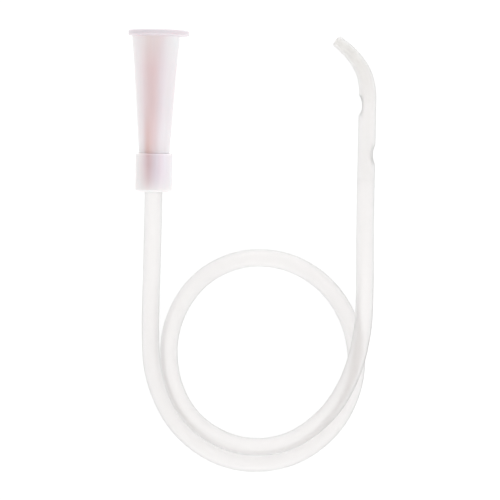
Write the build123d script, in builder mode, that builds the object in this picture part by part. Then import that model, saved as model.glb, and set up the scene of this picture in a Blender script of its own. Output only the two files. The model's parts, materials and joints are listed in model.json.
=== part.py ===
"""Suction catheter with a funnel connector, lying flat as it comes out of its pouch.

A soft clear tube runs from the connector through one loop to a curved, tapered tip with two
side eyes. The connector is a tapered funnel with a rim flange, pushed into a ferrule that
also grips the tube. It rests on its flange and on its ferrule, so its axis is tilted.

Frame: +Y runs along the connector towards its mouth, +Z is up, and the origin is under the
middle of the connector, on the surface that everything lies on. All sizes are millimetres.
"""

import os
from math import asin, atan2, cos, hypot, radians, sin, tan

from build123d import *

# Tube: the 18 French size, 3 French to the millimetre
tube_radius = 3.0
lumen_radius = 2.0
straight_exit = 17.0  # how far the tube keeps to the connector's axis before it first bends
bend_share = 0.45  # how much of the shorter run beside it each bend takes up

# Ferrule, with lengths measured along the connector from its open end
ferrule_length = 13.1
ferrule_radius = 6.28
ferrule_hole_radius = 3.1
ferrule_end_wall = 1.5
ferrule_hole_round = 0.3
ferrule_end_round = 1.0
ferrule_top_round = 0.35

# Funnel
connector_length = 54.9
spigot_radius = 4.5
socket_depth = 11.0
socket_radius = 3.02
neck_radius = 5.23
waist_along = 30.8
waist_radius = 6.36
flare_radius = 8.08
land_radius = 4.0
land_start = 13.0
land_length = 8.0
mouth_radius = 6.8
lip_round = 0.4

# Rim flange, moulded slightly off the funnel's axis
flange_radius = 10.3
flange_thickness = 1.8
flange_round = 0.4
flange_shift = 0.9

# Curved tip
tip_start = (72.1, -22.0)
tip_straight = 28.4
tip_bends = [(27.0, 11.0), (17.0, 20.0), (25.0, 19.5), (120.0, 2.0)]  # radius, degrees
tip_end_radius = 1.95
tip_end_lumen_radius = 1.1
tip_end_round = 0.6
# Eyes punched through the side wall: side, distance along the tip, length, depth
tip_eyes = [(-1, 25.8, 7.2, 1.3), (1, 8.8, 6.8, 0.95)]

# The connector's tilt: its flange's lower edge and its ferrule's end edge both touch z = 0
flange_start = connector_length - flange_thickness
contact_run = flange_start + flange_round - ferrule_end_round
contact_rise = (flange_radius - flange_round) - (ferrule_radius - ferrule_end_round)
tilt = atan2(contact_rise, contact_run) + asin(
    (flange_round - ferrule_end_round) / hypot(contact_run, contact_rise)
)

# Where the axis meets the ferrule's open end, with the connector centred on the origin
ferrule_rim = ferrule_radius - ferrule_end_round
flange_rim = flange_radius - flange_round
mouth_reach = (connector_length - flange_round) * cos(tilt) + flange_rim * sin(tilt) + flange_round
ferrule_reach = ferrule_end_round * (1 - cos(tilt)) + ferrule_rim * sin(tilt)
axis_x = -flange_shift
axis_y = -(mouth_reach - ferrule_reach) / 2
axis_z = ferrule_rim * cos(tilt) + ferrule_end_round * (1 - sin(tilt))


def on_axis(along):
    """A point on the connector's axis, measured from the ferrule's open end to the mouth."""
    return Vector(axis_x, axis_y + along * cos(tilt), axis_z + along * sin(tilt))


def corner_radii(points):
    """The largest even bend that each corner's two runs leave room for."""
    radii = []
    for before, corner, after in zip(points, points[1:], points[2:]):
        run_in, run_out = corner - before, after - corner
        half_turn = radians(run_in.get_angle(run_out)) / 2
        radii.append(bend_share * min(run_in.length, run_out.length) / tan(half_turn))
    return radii


connector_axis = Axis(on_axis(0), Vector(0, cos(tilt), sin(tilt)))
half_section = Plane(on_axis(0), x_dir=connector_axis.direction, z_dir=(1, 0, 0))

# Ferrule: a cup with a hole for the tube in its end wall
with BuildPart() as connector_collar:
    with BuildSketch(half_section):
        with BuildLine():
            FilletPolyline(
                (ferrule_end_wall, ferrule_hole_radius),
                (0, ferrule_hole_radius),
                (0, ferrule_radius),
                (ferrule_length, ferrule_radius),
                (ferrule_length, spigot_radius),
                radius=[ferrule_hole_round, ferrule_end_round, ferrule_top_round],
            )
            Polyline(
                (ferrule_length, spigot_radius),
                (ferrule_end_wall, spigot_radius),
                (ferrule_end_wall, ferrule_hole_radius),
            )
        make_face()
    revolve(axis=connector_axis)
connector_collar.part.label = "connector_collar"

# Funnel: a spigot and a flared body, the flange on it, and one stepped bore through them
flange_section = Plane(
    on_axis(0) + Vector(flange_shift, 0, 0), x_dir=connector_axis.direction, z_dir=(1, 0, 0)
)
with BuildPart() as funnel_connector:
    with BuildSketch(half_section):
        with BuildLine():
            Polyline(
                (connector_length, 0),
                (ferrule_end_wall, 0),
                (ferrule_end_wall, spigot_radius),
                (ferrule_length, spigot_radius),
                (ferrule_length, neck_radius),
            )
            ThreePointArc(
                (ferrule_length, neck_radius),
                (waist_along, waist_radius),
                (flange_start, flare_radius),
            )
            Polyline((flange_start, flare_radius), (connector_length, flare_radius), (connector_length, 0))
        make_face()
    revolve(axis=connector_axis)
    with BuildSketch(flange_section):
        with BuildLine():
            FilletPolyline(
                (flange_start, 0),
                (flange_start, flange_radius),
                (connector_length, flange_radius),
                (connector_length, 0),
                radius=flange_round,
            )
            Line((connector_length, 0), (flange_start, 0))
        make_face()
    revolve(axis=Axis(flange_section.origin, connector_axis.direction))
    with BuildSketch(half_section):
        with BuildLine():
            Polyline(
                (ferrule_end_wall, 0),
                (ferrule_end_wall, socket_radius),
                (socket_depth, socket_radius),
                (socket_depth, lumen_radius),
                (land_start, lumen_radius),
                (land_start, land_radius),
                (land_start + land_length, land_radius),
                (connector_length - lip_round, mouth_radius),
            )
            Polyline(
                (connector_length - lip_round, mouth_radius),
                (connector_length, mouth_radius + lip_round),
                (connector_length, 0),
                (ferrule_end_wall, 0),
            )
        make_face()
    revolve(axis=connector_axis, mode=Mode.SUBTRACT)
funnel_connector.part.label = "funnel_connector"

# Tube: from the shoulder in its socket, down to the surface, once round, over itself and on
tube_route = [
    on_axis(socket_depth),
    on_axis(-straight_exit),
    Vector(-1.4, -75.0, 3.0),
    Vector(-0.1, -92.4, 3.0),
    Vector(9.3, -110.3, 3.0),
    Vector(27.0, -120.9, 3.0),
    Vector(47.4, -119.8, 3.0),
    Vector(63.3, -108.2, 3.0),
    Vector(70.7, -90.9, 3.0),
    Vector(69.3, -73.6, 3.0),
    Vector(60.6, -58.8, 3.0),
    Vector(46.3, -50.0, 3.0),
    Vector(29.3, -49.2, 3.0),
    Vector(14.2, -57.5, 3.0),
    Vector(5.5, -72.9, 3.0),
    Vector(5.3, -90.1, 6.0),
    Vector(12.9, -105.7, 7.0),
    Vector(28.4, -114.8, 7.0),
    Vector(45.7, -114.1, 8.0),
    Vector(59.6, -104.4, 10.5),
    Vector(67.8, -91.0, 15.0),
    Vector(71.9, -74.7, 15.0),
    Vector(72.4, -57.7, 7.5),
    Vector(72.1, -40.0, 3.0),
    Vector(*tip_start, 3.0),
]
bends = corner_radii(tube_route)
with BuildPart() as tube:
    with BuildLine() as tube_path:
        FilletPolyline(*tube_route, radius=bends)
    with BuildSketch(Plane(tube_path.line @ 0, z_dir=tube_path.line % 0)) as tube_section:
        Circle(tube_radius)
        Circle(lumen_radius, mode=Mode.SUBTRACT)
    sweep()
tube.part.label = "tube"

# Curved tip: a straight stretch with the lower eye, then a tapered bend to the open end
with BuildPart() as curved_tip:
    with BuildLine() as bend_path:
        bend_start = Vector(tip_start[0], tip_start[1] + tip_straight, tube_radius)
        heading = Vector(0, 1, 0)
        for bend_radius, bend_angle in tip_bends:
            bend = JernArc(bend_start, heading, bend_radius, bend_angle)
            bend_start, heading = bend @ 1, bend % 1
    tip_back = Plane((*tip_start, tube_radius), z_dir=(0, 1, 0))
    bend_back = Plane(bend_path.line @ 0, z_dir=bend_path.line % 0)
    open_end = Plane(bend_path.line @ 1, z_dir=bend_path.line % 1)
    with BuildSketch(bend_back):
        Circle(tube_radius)
    with BuildSketch(open_end):
        Circle(tip_end_radius)
    sweep(path=bend_path.line, multisection=True)
    with BuildSketch(tip_back):
        Circle(tube_radius)
    extrude(amount=tip_straight)
    fillet(curved_tip.faces().filter_by(open_end).edges(), radius=tip_end_round)
    with BuildSketch(bend_back):
        Circle(lumen_radius)
    with BuildSketch(open_end):
        Circle(tip_end_lumen_radius)
    sweep(path=bend_path.line, multisection=True, mode=Mode.SUBTRACT)
    with BuildSketch(tip_back):
        Circle(lumen_radius)
    extrude(amount=tip_straight, mode=Mode.SUBTRACT)
    for side, along, length, depth in tip_eyes:
        punch_radius = (length**2 / 4 + depth**2) / (2 * depth)
        with BuildSketch(Plane.XY):
            with Locations(
                (tip_start[0] + side * (tube_radius - depth + punch_radius), tip_start[1] + along)
            ):
                Circle(punch_radius)
        extrude(amount=2 * tube_radius, mode=Mode.SUBTRACT)
curved_tip.part.label = "curved_tip"

print("tube bend radii:", ", ".join(f"{bend:.1f}" for bend in bends))
print("tube length:", round(sum(edge.length for edge in tube_path.edges()), 1))
print("tip length:", round(tip_straight + sum(edge.length for edge in bend_path.edges()), 1))

os.makedirs("parts", exist_ok=True)
for piece in (funnel_connector, connector_collar, tube, curved_tip):
    export_step(piece.part, f"parts/{piece.part.label}.step")
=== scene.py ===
"""Looks of the suction catheter: soft clear tube, curved tip and pink funnel connector.

Everything is in metres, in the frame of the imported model; the object's own sizes are written in
millimetres and multiplied by MM. The connector's two pieces are turned about the axis of its
socket, the tube follows a smooth spline whose control points are the route's, and the tip is a
thick-walled mesh whose eyes are cut and then softened.
"""

import json
import math

import bmesh
import bpy
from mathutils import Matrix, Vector, kdtree


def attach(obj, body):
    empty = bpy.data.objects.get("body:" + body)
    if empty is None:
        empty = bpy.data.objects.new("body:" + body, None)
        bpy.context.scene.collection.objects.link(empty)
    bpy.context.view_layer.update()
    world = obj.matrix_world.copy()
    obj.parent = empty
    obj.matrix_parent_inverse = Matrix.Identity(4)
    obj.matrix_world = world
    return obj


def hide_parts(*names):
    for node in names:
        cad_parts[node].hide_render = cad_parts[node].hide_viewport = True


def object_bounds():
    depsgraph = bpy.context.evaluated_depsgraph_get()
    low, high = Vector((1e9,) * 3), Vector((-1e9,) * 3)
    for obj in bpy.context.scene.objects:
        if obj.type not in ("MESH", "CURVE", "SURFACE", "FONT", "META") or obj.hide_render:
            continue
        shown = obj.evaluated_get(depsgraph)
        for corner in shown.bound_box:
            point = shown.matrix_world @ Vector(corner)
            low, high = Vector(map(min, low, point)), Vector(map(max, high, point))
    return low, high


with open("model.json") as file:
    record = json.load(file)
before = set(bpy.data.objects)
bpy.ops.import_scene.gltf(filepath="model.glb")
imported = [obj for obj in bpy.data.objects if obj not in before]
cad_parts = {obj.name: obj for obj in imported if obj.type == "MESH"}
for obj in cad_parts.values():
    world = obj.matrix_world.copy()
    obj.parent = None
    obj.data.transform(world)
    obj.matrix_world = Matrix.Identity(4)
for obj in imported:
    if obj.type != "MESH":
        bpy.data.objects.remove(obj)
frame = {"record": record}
cad_low, cad_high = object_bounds()

MM = 0.001
CORNER = math.radians(40)  # an edge sharper than this isn't shaded smooth

# ---------------------------------------------------------------- camera
CAMERA_HEIGHT = 0.6
FIELD_WIDTH = 0.1734  # what the view spans on the floor
CAMERA_ROLL = math.radians(1.2)
AIM_SHIFT = Vector((0.1, 0.8, 0)) * MM  # from over the object's middle


def make_camera():
    """A long lens straight above the middle of the object, turned a little."""
    data = bpy.data.cameras.new("camera")
    data.sensor_width = 36
    data.lens = data.sensor_width * CAMERA_HEIGHT / FIELD_WIDTH
    data.clip_start, data.clip_end = 0.01, 10
    camera = bpy.data.objects.new("camera", data)
    camera.location = (cad_low + cad_high) / 2 + AIM_SHIFT
    camera.location.z = CAMERA_HEIGHT
    camera.rotation_euler = (0, 0, CAMERA_ROLL)
    bpy.context.scene.collection.objects.link(camera)
    bpy.context.scene.camera = camera


make_camera()

# ---------------------------------------------------------------- the connector's axis
SOCKET = next(m for m in frame["record"]["mounts"] if m["name"] == "hose_socket")
AXIS = Vector(SOCKET["axis"]).normalized()
LAND_MIDDLE = 17.0 * MM  # of the hose socket's wall, from the ferrule's open end
ORIGIN = Vector(SOCKET["pos_m"]) - AXIS * LAND_MIDDLE
SIDE = Vector((1, 0, 0))
UP = SIDE.cross(AXIS)


def on_axis(along_mm):
    """A point on the connector's axis, measured from the ferrule's open end to the mouth."""
    return ORIGIN + AXIS * (along_mm * MM)


# ---------------------------------------------------------------- sizes, millimetres
TUBE_RADIUS, LUMEN_RADIUS = 3.0, 2.0
TUBE_LENGTH = 447.0
SOCKET_DEPTH = 11.0  # where the tube starts, from the ferrule's open end
STRAIGHT_EXIT = 17.0  # how far past that end it keeps to the connector's axis

# The route's points after the straight exit: down to the floor, round, over itself and on
ROUTE = [
    (-1.4, -75.0, 3.0),
    (-0.1, -92.4, 3.0),
    (9.3, -110.3, 3.0),
    (27.0, -120.9, 3.0),
    (47.4, -119.8, 3.0),
    (63.3, -108.2, 3.0),
    (70.7, -90.9, 3.0),
    (69.3, -73.6, 3.0),
    (60.6, -58.8, 3.0),
    (46.3, -50.0, 3.0),
    (29.3, -49.2, 3.0),
    (14.2, -57.5, 3.0),
    (5.5, -72.9, 3.0),
    (5.3, -90.1, 5.6),
    (12.9, -105.7, 6.0),
    (28.4, -114.8, 5.8),
    (45.7, -114.1, 6.0),
    (59.6, -104.4, 7.3),
    (67.8, -91.0, 9.4),
    (71.9, -74.7, 9.4),
    (72.4, -57.7, 5.6),
    (72.1, -40.0, 3.0),
    (72.1, -22.0, 3.0),
]

TIP_START = Vector(ROUTE[-1])
TIP_STRAIGHT = 28.4
TIP_BENDS = [(27.0, 11.0), (17.0, 20.0), (25.0, 19.5), (120.0, 2.0)]  # radius, degrees
TIP_END_RADIUS, TIP_END_LUMEN_RADIUS, TIP_END_ROUND = 1.95, 1.1, 0.7
TIP_EYES = [(-1, 25.8, 7.2, 1.3), (1, 8.8, 6.8, 0.95)]  # side, place along, length, depth

FUNNEL_LENGTH = 54.9
FLANGE_START, FLANGE_RADIUS, FLANGE_ROUND = 53.1, 10.3, 0.45
FLANGE_SHIFT = 0.9  # how far its rim stands off the axis
FLANGE_EASE = 0.5  # the shift grows from this far outside the funnel's wall to this far inside the rim
FLARE_RADIUS, WAIST, NECK_RADIUS = 8.08, (30.8, 6.36), 5.23  # the waist is its place and radius
MOUTH_RADIUS, MOUTH_DEPTH, MOUTH_FLARE = 6.8, 0.8, 0.4  # its lead-in is this deep and this wide
LAND_START, LAND_END, LAND_RADIUS = 13.0, 21.0, 4.0
SPIGOT_START, SPIGOT_RADIUS, SOCKET_RADIUS = 1.55, 4.46, 3.03
FERRULE_LENGTH, FERRULE_RADIUS = 13.1, 6.28
FERRULE_FLOOR, FERRULE_BORE, FERRULE_HOLE = 1.5, 4.5, 3.1  # thickness, then two radii
SEAM = 0.02  # between the ferrule's top and the funnel's neck

# How finely the curved shapes are divided
CONNECTOR_SIDES, TUBE_SIDES, TIP_SIDES, PUNCH_SIDES = 128, 48, 64, 128
ROUTE_STEPS, WALL_STEPS, CORNER_STEPS = 20, 14, 8
TIP_STEP, TIP_GRAIN = 0.25, 0.16  # millimetres along its line, and of its evened mesh


# ---------------------------------------------------------------- mesh helpers
def smooth_line(name, points, resolution):
    """Points along the smooth spline that has these control points."""
    curve = bpy.data.curves.new(name, "CURVE")
    curve.dimensions = "3D"
    spline = curve.splines.new("NURBS")
    spline.points.add(len(points) - 1)
    for point, place in zip(spline.points, points):
        point.co = (*place, 1)
    spline.order_u = 3
    spline.use_endpoint_u = True
    spline.resolution_u = resolution
    holder = bpy.data.objects.new(name, curve)
    mesh = bpy.data.meshes.new_from_object(holder)
    line = [v.co.copy() for v in mesh.vertices]
    bpy.data.meshes.remove(mesh)
    bpy.data.objects.remove(holder)
    bpy.data.curves.remove(curve)
    return line


def distances_along(line):
    """How far along the line each of its points is."""
    distances = [0.0]
    for before, after in zip(line, line[1:]):
        distances.append(distances[-1] + (after - before).length)
    return distances


def ring(bm, centre, side, across, radius, sides):
    """Vertices round the centre, from its side towards across."""
    turns = (math.tau * k / sides for k in range(sides))
    return [bm.verts.new(centre + (side * math.cos(a) + across * math.sin(a)) * radius) for a in turns]


def rings_along(bm, line, radii, sides):
    """Rings of vertices square to the line, turned as little as possible from one to the next."""
    rings = []
    upright = abs((line[1] - line[0]).normalized().z) > 0.9
    side = Vector((1, 0, 0)) if upright else Vector((0, 0, 1))
    for i, place in enumerate(line):
        before, after = line[max(i - 1, 0)], line[min(i + 1, len(line) - 1)]
        tangent = (after - before).normalized()
        side = (side - tangent * side.dot(tangent)).normalized()
        rings.append(ring(bm, place, side, tangent.cross(side), radii[i], sides))
    return rings


def skin(bm, rings, lengths, closed=False):
    """Quads between the rings, closed into a loop if asked; u runs round them and v is the length."""
    layer = bm.loops.layers.uv.verify()
    pairs = list(zip(rings, rings[1:], lengths, lengths[1:]))
    if closed:
        pairs.append((rings[-1], rings[0], lengths[-1], lengths[0]))
    for low, high, v_low, v_high in pairs:
        sides = len(low)
        for k in range(sides):
            n = (k + 1) % sides
            face = bm.faces.new([low[k], low[n], high[n], high[k]])
            corners = [(k, v_low), (k + 1, v_low), (k + 1, v_high), (k, v_high)]
            for loop, (turn, length) in zip(face.loops, corners):
                loop[layer].uv = (turn / sides, length)


def shade(mesh):
    """Smooth shading that stops at real corners."""
    mesh.shade_smooth()
    mesh.set_sharp_from_angle(angle=CORNER)


def mesh_piece(bm, name):
    """The mesh as an object in the scene."""
    bmesh.ops.recalc_face_normals(bm, faces=bm.faces)
    mesh = bpy.data.meshes.new(name)
    bm.to_mesh(mesh)
    bm.free()
    shade(mesh)
    piece = bpy.data.objects.new(name, mesh)
    bpy.context.scene.collection.objects.link(piece)
    return piece


# ---------------------------------------------------------------- materials
def new_material(name):
    """A material, its nodes, its links and its shader's sockets."""
    material = bpy.data.materials.new(name)
    material.use_nodes = True
    nodes, links = material.node_tree.nodes, material.node_tree.links
    return material, nodes, links, nodes["Principled BSDF"].inputs


def maths(nodes, links, operation, *values):
    """A Math node of sockets and plain numbers."""
    node = nodes.new("ShaderNodeMath")
    node.operation = operation
    for socket, value in zip(node.inputs, values):
        if isinstance(value, (int, float)):
            socket.default_value = value
        else:
            links.new(value, socket)
    return node.outputs[0]


def round_and_along(nodes, links, across, along):
    """A texture vector that closes round the piece, on a circle this many units in radius.

    along is how many units there are to a metre of length.
    """
    uv = nodes.new("ShaderNodeUVMap")
    parts = nodes.new("ShaderNodeSeparateXYZ")
    links.new(uv.outputs[0], parts.inputs[0])
    turn = maths(nodes, links, "MULTIPLY", parts.outputs["X"], math.tau)
    vector = nodes.new("ShaderNodeCombineXYZ")
    for axis, wave in (("X", "COSINE"), ("Y", "SINE")):
        swing = maths(nodes, links, wave, turn)
        links.new(maths(nodes, links, "MULTIPLY", swing, across), vector.inputs[axis])
    links.new(maths(nodes, links, "MULTIPLY", parts.outputs["Y"], along), vector.inputs["Z"])
    return vector.outputs[0]


def place_on(nodes, links):
    """A point's share across the piece, from 0 at one side to 1 at the other, and how far along.

    On the connector the sides are -X and +X.
    """
    uv = nodes.new("ShaderNodeUVMap")
    parts = nodes.new("ShaderNodeSeparateXYZ")
    links.new(uv.outputs[0], parts.inputs[0])
    swing = maths(nodes, links, "COSINE", maths(nodes, links, "MULTIPLY", parts.outputs["X"], math.tau))
    return maths(nodes, links, "MULTIPLY_ADD", swing, 0.5, 0.5), parts.outputs["Y"]


def noise(nodes, links, vector):
    """Soft noise whose spots are about a unit of the vector in size."""
    node = nodes.new("ShaderNodeTexNoise")
    node.inputs["Scale"].default_value = 1.0
    node.inputs["Detail"].default_value = 3.0
    links.new(vector, node.inputs["Vector"])
    return node.outputs["Fac"]


def spread(nodes, links, value, low, high, start=0.3, end=0.7):
    """The value from start to end, stretched to low to high."""
    node = nodes.new("ShaderNodeMapRange")
    for name, number in (("From Min", start), ("From Max", end), ("To Min", low), ("To Max", high)):
        node.inputs[name].default_value = number
    links.new(value, node.inputs["Value"])
    return node.outputs["Result"]


def ramp(nodes, links, value, stops):
    """A colour ramp with these (position, colour) stops."""
    node = nodes.new("ShaderNodeValToRGB")
    node.color_ramp.interpolation = "CARDINAL"
    elements = node.color_ramp.elements
    while len(elements) < len(stops):
        elements.new(1.0)
    for element, (position, colour) in zip(elements, stops):
        element.position, element.color = position, (*colour, 1)
    links.new(value, node.inputs["Fac"])
    return node.outputs["Color"]


def bump(nodes, links, shader, height, distance):
    """Relief on the shader's surface, this deep."""
    node = nodes.new("ShaderNodeBump")
    node.inputs["Distance"].default_value = distance
    links.new(height, node.inputs["Height"])
    links.new(node.outputs["Normal"], shader["Normal"])


def blend(nodes, links, share, first, second, mode="MIX"):
    """Two colours mixed; the second may be a plain colour."""
    node = nodes.new("ShaderNodeMix")
    node.data_type, node.blend_type = "RGBA", mode
    if isinstance(share, (int, float)):
        node.inputs[0].default_value = share
    else:
        links.new(share, node.inputs[0])
    links.new(first, node.inputs[6])
    if isinstance(second, tuple):
        node.inputs[7].default_value = (*second, 1)
    else:
        links.new(second, node.inputs[7])
    return node.outputs[2]


# painted shade: grey painted on the eyes' cut faces, where their edges look dark
CUT_PAINTED_SHADE = (0.65, 0.65, 0.65)


def clear_plastic(name, near, far, change, roughness):
    """Soft milky plastic: streaks along it from the extruder, an uneven haze, and painted shade on the
    eyes' cut faces.

    near and far are each a light and a dark tint, and change is where along the piece, in
    millimetres, the first pair gives way to the second. roughness is that of the thin and of the
    thick haze.
    """
    material, nodes, links, shader = new_material(name)
    shader["Transmission Weight"].default_value = 1.0
    shader["IOR"].default_value = 1.35
    streak = noise(nodes, links, round_and_along(nodes, links, 6.0, 12.0))
    haze = noise(nodes, links, round_and_along(nodes, links, 1.5, 500.0))
    cloud = maths(nodes, links, "MULTIPLY_ADD", streak, 0.5, maths(nodes, links, "MULTIPLY", haze, 0.5))
    near_tint, far_tint = (
        ramp(nodes, links, cloud, [(0.4, dark), (0.6, light)]) for light, dark in (near, far)
    )
    _, along = place_on(nodes, links)
    share = spread(nodes, links, along, 0.0, 1.0, change[0] * MM, change[1] * MM)
    tint = blend(nodes, links, share, near_tint, far_tint)
    # the eyes' cut faces get the grey painted shade
    cut = nodes.new("ShaderNodeAttribute")
    cut.attribute_name = "cut"
    links.new(blend(nodes, links, cut.outputs["Fac"], tint, CUT_PAINTED_SHADE), shader["Base Color"])
    links.new(spread(nodes, links, haze, *roughness), shader["Roughness"])
    bump(nodes, links, shader, streak, 0.04 * MM)
    return material


def across_ramp(nodes, links, across, stops):
    """The colour for a share across, from stops whose places run from -1 to 1."""
    return ramp(nodes, links, across, [((1 + place) / 2, shade) for place, shade in stops])


def pink_plastic_painted_shade(name, painted_shade_across, changes):
    """Soft translucent plastic with painted light: a deeper painted shade band along one flank, a paler
    painted highlight on the other side.

    Each change is where it starts and ends, in millimetres along the connector, the power that
    its share is raised to, and the colours across that it leads to.
    """
    material, nodes, links, shader = new_material(name)
    shader["IOR"].default_value = 1.5
    shader["Subsurface Weight"].default_value = 0.5
    shader["Subsurface Radius"].default_value = (1.0, 0.85, 0.85)
    shader["Subsurface Scale"].default_value = 2 * MM
    shader["Coat Weight"].default_value = 0.3
    shader["Coat Roughness"].default_value = 0.3
    # the colours across are painted light: a shade band left of the middle and a paler highlight on the
    # +X side
    across, along = place_on(nodes, links)
    colour = across_ramp(nodes, links, across, painted_shade_across)
    for start, end, power, stops in changes:
        share = spread(nodes, links, along, 0.0, 1.0, start * MM, end * MM)
        share = maths(nodes, links, "POWER", share, power)
        colour = blend(nodes, links, share, colour, across_ramp(nodes, links, across, stops))
    cloud = noise(nodes, links, round_and_along(nodes, links, 4.0, 60.0))
    mottle = ramp(nodes, links, cloud, [(0.3, (0.97, 0.965, 0.965)), (0.7, (1.0, 1.0, 1.0))])
    links.new(blend(nodes, links, 1.0, colour, mottle, "MULTIPLY"), shader["Base Color"])
    fine = noise(nodes, links, round_and_along(nodes, links, 30.0, 4000.0))
    links.new(spread(nodes, links, fine, 0.34, 0.44), shader["Roughness"])
    bump(nodes, links, shader, fine, 0.01 * MM)
    return material


# ---------------------------------------------------------------- connector
def rounded(outline):
    """The outline with an arc in place of each corner that has a radius."""
    points = []
    for i, (along, radius, bend) in enumerate(outline):
        corner = Vector((along, radius))
        if not bend:
            points.append(corner)
            continue
        back = Vector(outline[i - 1][:2]) - corner
        ahead = Vector(outline[(i + 1) % len(outline)][:2]) - corner
        half = back.angle(ahead) / 2
        reach = bend / math.tan(half)
        inward = (back.normalized() + ahead.normalized()).normalized()
        middle = corner + inward * (bend / math.sin(half))
        first = corner + back.normalized() * reach - middle
        last = corner + ahead.normalized() * reach - middle
        sweep = first.angle(last)
        for k in range(CORNER_STEPS + 1):
            share = k / CORNER_STEPS
            mix = first * math.sin((1 - share) * sweep) + last * math.sin(share * sweep)
            points.append(middle + mix / math.sin(sweep))
    return points


def arc_through(start, mid, end, steps):
    """Points between the start and the end of the circle through three points."""
    (ax, ay), (bx, by), (cx, cy) = start, mid, end
    d = 2 * (ax * (by - cy) + bx * (cy - ay) + cx * (ay - by))
    a2, b2, c2 = ax * ax + ay * ay, bx * bx + by * by, cx * cx + cy * cy
    ux = (a2 * (by - cy) + b2 * (cy - ay) + c2 * (ay - by)) / d
    uy = (a2 * (cx - bx) + b2 * (ax - cx) + c2 * (bx - ax)) / d
    radius = math.hypot(ax - ux, ay - uy)
    first, last = math.atan2(ay - uy, ax - ux), math.atan2(cy - uy, cx - ux)
    angles = [first + (last - first) * k / steps for k in range(1, steps)]
    return [(ux + radius * math.cos(a), uy + radius * math.sin(a)) for a in angles]


def turned(name, outline, sideways=lambda radius: 0.0):
    """A closed outline of (along, radius) turned about the connector's axis."""
    bm = bmesh.new()
    rings = []
    for along, radius in outline:
        centre = on_axis(along) + SIDE * (sideways(radius) * MM)
        rings.append(ring(bm, centre, SIDE, UP, radius * MM, CONNECTOR_SIDES))
    skin(bm, rings, [along * MM for along, _ in outline], closed=True)
    return mesh_piece(bm, name)


def flange_sideways(radius):
    """How far off the axis the flange is at this radius: not at the funnel's wall, whole at the rim."""
    start, end = FLARE_RADIUS + FLANGE_EASE, FLANGE_RADIUS - FLANGE_EASE
    share = (radius - start) / (end - start)
    return FLANGE_SHIFT * min(max(share, 0.0), 1.0)


def make_funnel(material):
    """The funnel, its flange and its bore; each corner is (along, radius, rounding)."""
    neck, flare = (FERRULE_LENGTH + SEAM, NECK_RADIUS), (FLANGE_START, FLARE_RADIUS)
    outline = [
        (SPIGOT_START, SOCKET_RADIUS, 0),
        (SPIGOT_START, SPIGOT_RADIUS, 0.2),
        (neck[0], SPIGOT_RADIUS, 0),
        (*neck, 0.1),
    ]
    outline += [(*place, 0) for place in arc_through(neck, WAIST, flare, WALL_STEPS)]
    outline += [
        (*flare, 0.5),
        (FLANGE_START, FLANGE_RADIUS, FLANGE_ROUND),
        (FUNNEL_LENGTH, FLANGE_RADIUS, FLANGE_ROUND),
        (FUNNEL_LENGTH, MOUTH_RADIUS + MOUTH_FLARE, 0.25),
        (FUNNEL_LENGTH - MOUTH_DEPTH, MOUTH_RADIUS, 0.6),
        (LAND_END, LAND_RADIUS, 6.0),
        (LAND_START, LAND_RADIUS, 0.5),
        (LAND_START, LUMEN_RADIUS, 0.15),
        (SOCKET_DEPTH, LUMEN_RADIUS, 0),
        (SOCKET_DEPTH, SOCKET_RADIUS, 0),
    ]
    piece = turned("pink_funnel", rounded(outline), sideways=flange_sideways)
    piece.data.materials.append(material)
    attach(piece, "root")
    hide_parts("funnel_connector")


def make_ferrule(material):
    """The cup round the spigot, with a hole in its floor for the tube."""
    outline = [
        (FERRULE_FLOOR, FERRULE_HOLE, 0),
        (0.0, FERRULE_HOLE, 0.35),
        (0.0, FERRULE_RADIUS, 1.0),
        (FERRULE_LENGTH, FERRULE_RADIUS, 0.6),
        (FERRULE_LENGTH, FERRULE_BORE, 0),
        (FERRULE_FLOOR, FERRULE_BORE, 0),
    ]
    piece = turned("pink_ferrule", rounded(outline))
    piece.data.materials.append(material)
    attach(piece, "root")
    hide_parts("connector_collar")


# ---------------------------------------------------------------- tube
def make_tube(material):
    """The tube with its bore, and the line down its middle."""
    control = [on_axis(SOCKET_DEPTH), on_axis(-STRAIGHT_EXIT)] + [Vector(p) * MM for p in ROUTE]
    line = smooth_line("tube_line", control, ROUTE_STEPS)
    bm = bmesh.new()
    outer, inner = (
        rings_along(bm, line, [radius * MM] * len(line), TUBE_SIDES)
        for radius in (TUBE_RADIUS, LUMEN_RADIUS)
    )
    lengths = distances_along(line)
    skin(bm, outer + inner[::-1], lengths + lengths[::-1], closed=True)
    piece = mesh_piece(bm, "clear_tube")
    piece.data.materials.append(material)
    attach(piece, "root")
    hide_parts("tube")
    return piece, line


# ---------------------------------------------------------------- curved tip
def tip_line():
    """Points down the middle of the tip from the tube's end, with the distance along at each."""
    place, heading, along = TIP_START.copy(), math.pi / 2, 0.0
    line, distances = [place * MM], [0.0]
    for radius, angle in [(None, TIP_STRAIGHT)] + TIP_BENDS:
        length = angle if radius is None else radius * math.radians(angle)
        count = round(length / TIP_STEP)
        for _ in range(count):
            turn = 0 if radius is None else math.radians(angle) / count
            heading += turn / 2
            place = place + Vector((math.cos(heading), math.sin(heading), 0)) * (length / count)
            heading += turn / 2
            along += length / count
            line.append(place * MM)
            distances.append(along)
    return line, distances


def solid_along(name, line, radii, sides):
    """A closed solid round the line."""
    bm = bmesh.new()
    rings = rings_along(bm, line, radii, sides)
    skin(bm, rings, distances_along(line))
    bm.faces.new(rings[0])
    bm.faces.new(rings[-1])
    return mesh_piece(bm, name)


def tapered(distances, full, end):
    """The radius in metres at each distance: full along the straight, then an even taper."""
    taper_length = distances[-1] - TIP_STRAIGHT
    return [
        (full + (end - full) * max(0.0, d - TIP_STRAIGHT) / taper_length) * MM for d in distances
    ]


def cut_away(piece, cutter):
    """Takes the cutter's shape out of the piece."""
    cut = piece.modifiers.new("cut", "BOOLEAN")
    cut.operation, cut.solver, cut.object = "DIFFERENCE", "EXACT", cutter
    apply_modifiers(piece)
    bpy.data.objects.remove(cutter)


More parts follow.
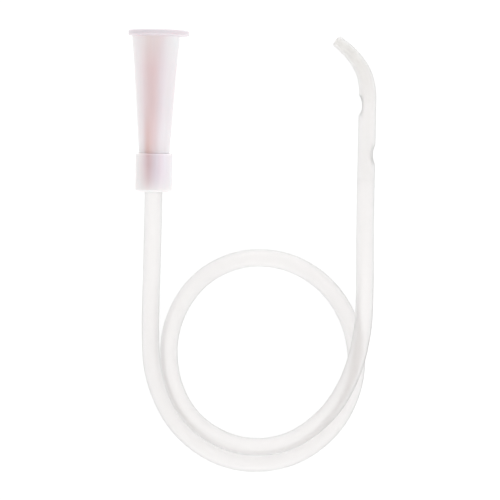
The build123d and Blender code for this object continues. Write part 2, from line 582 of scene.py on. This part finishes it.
def apply_modifiers(piece):
    """The piece's mesh as its modifiers leave it."""
    graph = bpy.context.evaluated_depsgraph_get()
    graph.update()
    mesh = bpy.data.meshes.new_from_object(piece.evaluated_get(graph))
    piece.modifiers.clear()
    piece.data = mesh


def wrap_round(bm, line):
    """Coordinates round and along the line, like the tube's, for a mesh that lies about it."""
    tree = kdtree.KDTree(len(line))
    for i, place in enumerate(line):
        tree.insert(place, i)
    tree.balance()
    distances = distances_along(line)
    places = {}
    for vert in bm.verts:
        nearest, i, _ = tree.find(vert.co)
        heading = (line[min(i + 1, len(line) - 1)] - line[max(i - 1, 0)]).normalized()
        out = vert.co - nearest
        turn = math.atan2(out.dot(heading.cross(Vector((0, 0, 1)))), out.z) / math.tau
        places[vert] = (turn, distances[i] + out.dot(heading))
    layer = bm.loops.layers.uv.verify()
    for face in bm.faces:
        first = places[face.loops[0].vert][0]
        for loop in face.loops:
            turn, length = places[loop.vert]
            loop[layer].uv = (turn - round(turn - first), length)


def punch_of(side, along, length, depth):
    """The middle and the radius of the upright round punch that cuts this eye, in millimetres."""
    radius = (length**2 / 4 + depth**2) / (2 * depth)
    return TIP_START + Vector((side * (TUBE_RADIUS - depth + radius), along, 0)), radius


CUT_SHADE_FADE = 0.3  # how far past the eyes' edges the painted shade of their cut faces reaches


def mark_cut_shade(mesh):
    """An attribute that is 1 on the eyes' cut faces, where shade is painted, and fades out just past
    their edges.
    """
    marks = mesh.attributes.new("cut", "FLOAT", "POINT")
    punches = [punch_of(*eye) for eye in TIP_EYES]
    for vert, mark in zip(mesh.vertices, marks.data):
        gaps = [abs((vert.co.xy / MM - centre.xy).length - radius) for centre, radius in punches]
        mark.value = max(0.0, 1 - min(gaps) / CUT_SHADE_FADE)


def round_off(radii, distances):
    """Rounds the outside of the tip's open end."""
    for i, d in enumerate(distances):
        short = TIP_END_ROUND - (distances[-1] - d)
        if short > 0:
            radii[i] -= (TIP_END_ROUND - math.sqrt(max(TIP_END_ROUND**2 - short**2, 0))) * MM


def tip_wall(line, distances):
    """The bent, tapered wall, which starts a little before the tube's end."""
    lead = [line[0] - Vector((0, back, 0)) * MM for back in (1, 0.5)]
    radii = tapered(distances, TUBE_RADIUS, TIP_END_RADIUS)
    round_off(radii, distances)
    wall = solid_along("tip", lead + line, [radii[0]] * 2 + radii, TIP_SIDES)
    before = lead[0] - Vector((0, 1, 0)) * MM
    beyond = line[-1] + (line[-1] - line[-2]).normalized() * MM
    radii = tapered(distances, LUMEN_RADIUS, TIP_END_LUMEN_RADIUS)
    radii = [radii[0]] * 3 + radii + [radii[-1]]
    cut_away(wall, solid_along("bore", [before] + lead + line + [beyond], radii, TIP_SIDES))
    return wall


def cut_eyes(piece):
    """Punches the eyes out of the wall from above."""
    for eye in TIP_EYES:
        centre, punch = punch_of(*eye)
        ends = [(centre + Vector((0, 0, z))) * MM for z in (-4, 4)]
        cut_away(piece, solid_along("punch", ends, [punch * MM] * 2, PUNCH_SIDES))


def even_out(piece):
    """An even mesh in place of the cut one, its edges softened."""
    remesh = piece.modifiers.new("even", "REMESH")
    remesh.mode, remesh.voxel_size, remesh.use_smooth_shade = "VOXEL", TIP_GRAIN * MM, True
    relax = piece.modifiers.new("relax", "SMOOTH")
    relax.factor, relax.iterations = 0.5, 6
    apply_modifiers(piece)


def square_off(bm):
    """Takes away what lies before the tube's end and closes the wall there."""
    cut = bmesh.ops.bisect_plane(
        bm, geom=bm.verts[:] + bm.edges[:] + bm.faces[:], plane_co=TIP_START * MM,
        plane_no=(0, 1, 0), clear_inner=True,
    )
    rim = [e for e in cut["geom_cut"] if isinstance(e, bmesh.types.BMEdge)]
    bmesh.ops.bridge_loops(bm, edges=rim)


def make_tip(material):
    """The tip with its eyes, as one even mesh."""
    line, distances = tip_line()
    piece = tip_wall(line, distances)
    cut_eyes(piece)
    even_out(piece)
    bm = bmesh.new()
    bm.from_mesh(piece.data)
    square_off(bm)
    wrap_round(bm, line)
    bm.to_mesh(piece.data)
    bm.free()
    mark_cut_shade(piece.data)
    shade(piece.data)
    piece.name = "tip_with_eyes"
    piece.data.materials.clear()
    piece.data.materials.append(material)
    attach(piece, "root")
    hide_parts("curved_tip")
    return piece


# ---------------------------------------------------------------- the pieces in their colours
TUBE_TINTS = ((0.991, 0.981, 0.976), (0.973, 0.963, 0.958))  # light, dark
TIP_TINTS = ((0.989, 0.979, 0.973), (0.957, 0.947, 0.94))
TIP_END_TINTS = ((0.96, 0.95, 0.935), (0.87, 0.86, 0.845))
TIP_CHANGE = (TIP_STRAIGHT - 4, TIP_STRAIGHT + 16)
tube, tube_line = make_tube(
    clear_plastic("milky_tube", TUBE_TINTS, TUBE_TINTS, (0, TUBE_LENGTH), (0.33, 0.4))
)
tip = make_tip(clear_plastic("milky_tip", TIP_TINTS, TIP_END_TINTS, TIP_CHANGE, (0.3, 0.4)))

# Colours across the pink pieces, from their -X side at -1 to their +X side at 1; they paint a shade
# band left of the middle and a paler, lit +X side
FUNNEL_PAINTED_SHADE = [
    (-1.0, (0.92, 0.87, 0.88)),
    (-0.75, (0.905, 0.83, 0.845)),
    (-0.55, (0.89, 0.77, 0.79)),
    (-0.35, (0.815, 0.665, 0.675)),
    (-0.14, (0.795, 0.63, 0.64)),
    (0.06, (0.80, 0.65, 0.665)),
    (0.26, (0.815, 0.715, 0.745)),
    (0.47, (0.85, 0.78, 0.815)),
    (0.67, (0.875, 0.825, 0.85)),
    (1.0, (0.865, 0.815, 0.84)),
]
# painted light and shade: towards the flange the shade band is fainter and the funnel is painted paler
FUNNEL_TOP_PAINTED_SHADE = [
    (-1.0, (0.95, 0.89, 0.89)),
    (-0.76, (0.925, 0.87, 0.88)),
    (-0.58, (0.92, 0.86, 0.86)),
    (-0.41, (0.88, 0.805, 0.80)),
    (-0.24, (0.85, 0.76, 0.75)),
    (-0.05, (0.83, 0.75, 0.75)),
    (0.1, (0.83, 0.75, 0.745)),
    (0.27, (0.84, 0.76, 0.77)),
    (0.44, (0.86, 0.81, 0.82)),
    (0.78, (0.88, 0.875, 0.88)),
]
FLANGE_ACROSS = [(-1.0, (0.76, 0.71, 0.745)), (1.0, (0.76, 0.71, 0.745))]
# painted shade: the deepest shade band, at the funnel's neck
NECK_PAINTED_SHADE = [
    (-1.0, (0.94, 0.89, 0.90)),
    (-0.87, (0.96, 0.88, 0.89)),
    (-0.62, (0.88, 0.76, 0.77)),
    (-0.42, (0.80, 0.59, 0.565)),
    (-0.25, (0.83, 0.62, 0.60)),
    (-0.05, (0.865, 0.69, 0.70)),
    (0.18, (0.88, 0.76, 0.78)),
    (0.45, (0.91, 0.84, 0.87)),
    (1.0, (0.93, 0.88, 0.90)),
]
# painted shade: the ferrule's shade band, with a paler highlight on its +X side
FERRULE_PAINTED_SHADE = [
    (-1.0, (0.92, 0.885, 0.885)),
    (-0.72, (0.90, 0.835, 0.84)),
    (-0.49, (0.83, 0.715, 0.73)),
    (-0.27, (0.735, 0.58, 0.60)),
    (-0.05, (0.75, 0.63, 0.675)),
    (0.17, (0.79, 0.705, 0.765)),
    (0.39, (0.845, 0.75, 0.81)),
    (0.62, (0.89, 0.825, 0.88)),
    (1.0, (0.92, 0.885, 0.91)),
]
# painted shade: the shade band is deeper towards the ferrule's top
FERRULE_TOP_PAINTED_SHADE = [
    *FERRULE_PAINTED_SHADE[:2],
    (-0.49, (0.815, 0.695, 0.72)),
    (-0.27, (0.71, 0.54, 0.56)),
    (-0.05, (0.735, 0.605, 0.645)),
    (0.17, (0.785, 0.70, 0.76)),
    *FERRULE_PAINTED_SHADE[6:],
]
# painted light: the ferrule's foot is paler, standing in for light on its rounded bottom edge
FERRULE_FOOT_PAINTED_LIGHT = [(-1.0, (0.93, 0.90, 0.90)), (1.0, (0.93, 0.90, 0.90))]
# Where each change of painted shade and light starts and ends along the connector, its power, and the
# colours it leads to
funnel_shade_changes = [
    (FERRULE_LENGTH, 30.0, 1.0, FUNNEL_PAINTED_SHADE),
    (42.0, 52.5, 1.0, FUNNEL_TOP_PAINTED_SHADE),
    (FLANGE_START - 0.6, FLANGE_START, 1.0, FLANGE_ACROSS),
]
# painted shade deepens towards the ferrule's top, and painted light pales its foot
ferrule_shade_changes = [(7.0, 9.0, 1.0, FERRULE_TOP_PAINTED_SHADE), (8.0, 0.0, 2.2, FERRULE_FOOT_PAINTED_LIGHT)]
# the pink pieces carry painted shade and a painted highlight in their colour
make_funnel(pink_plastic_painted_shade("pink_funnel", NECK_PAINTED_SHADE, funnel_shade_changes))
make_ferrule(pink_plastic_painted_shade("pink_ferrule", FERRULE_PAINTED_SHADE, ferrule_shade_changes))


# ---------------------------------------------------------------- stage
def make_stage():
    """A wide white floor that glows, so that its shadows stay faint."""
    half = 3.0
    mesh = bpy.data.meshes.new("floor")
    corners = [(-half, -half, 0), (half, -half, 0), (half, half, 0), (-half, half, 0)]
    mesh.from_pydata(corners, [], [(0, 1, 2, 3)])
    floor = bpy.data.objects.new("floor", mesh)
    bpy.context.scene.collection.objects.link(floor)
    material, nodes, links, shader = new_material("white_floor")
    shader["Base Color"].default_value = (0.2, 0.2, 0.2, 1)
    shader["Roughness"].default_value = 0.9
    shader["Specular IOR Level"].default_value = 0.0
    shader["Emission Color"].default_value = (1, 1, 1, 1)
    shader["Emission Strength"].default_value = 0.88
    mesh.materials.append(material)


def area_light(name, place, size, power):
    """A soft light aimed at the middle of the object, in metres and watts."""
    data = bpy.data.lights.new(name, "AREA")
    data.shape = "RECTANGLE"
    data.size, data.size_y = size
    data.energy = power
    light = bpy.data.objects.new(name, data)
    light.location = place
    middle = (cad_low + cad_high) / 2
    light.rotation_euler = (middle - Vector(place)).to_track_quat("-Z", "Y").to_euler()
    light.visible_camera = False
    bpy.context.scene.collection.objects.link(light)


def make_world():
    """White all round, a little dimmer half way up."""
    world = bpy.data.worlds.new("soft_white")
    world.use_nodes = True
    nodes, links = world.node_tree.nodes, world.node_tree.links
    direction = nodes.new("ShaderNodeTexCoord")
    parts = nodes.new("ShaderNodeSeparateXYZ")
    links.new(direction.outputs["Generated"], parts.inputs[0])
    stops = [(0.0, (0.75,) * 3), (0.5, (0.65,) * 3), (1.0, (0.9,) * 3)]
    links.new(ramp(nodes, links, parts.outputs["Z"], stops), nodes["Background"].inputs["Color"])
    bpy.context.scene.world = world


make_stage()
make_world()
area_light("right", (0.6, -0.1, 0.35), (0.5, 0.5), 0.6)
area_light("far_side", (0.0, 0.7, 0.2), (0.8, 0.3), 2.0)
area_light("near_side", (0.0, -0.8, 0.2), (0.8, 0.3), 2.0)
bpy.context.scene.view_settings.view_transform = "Standard"
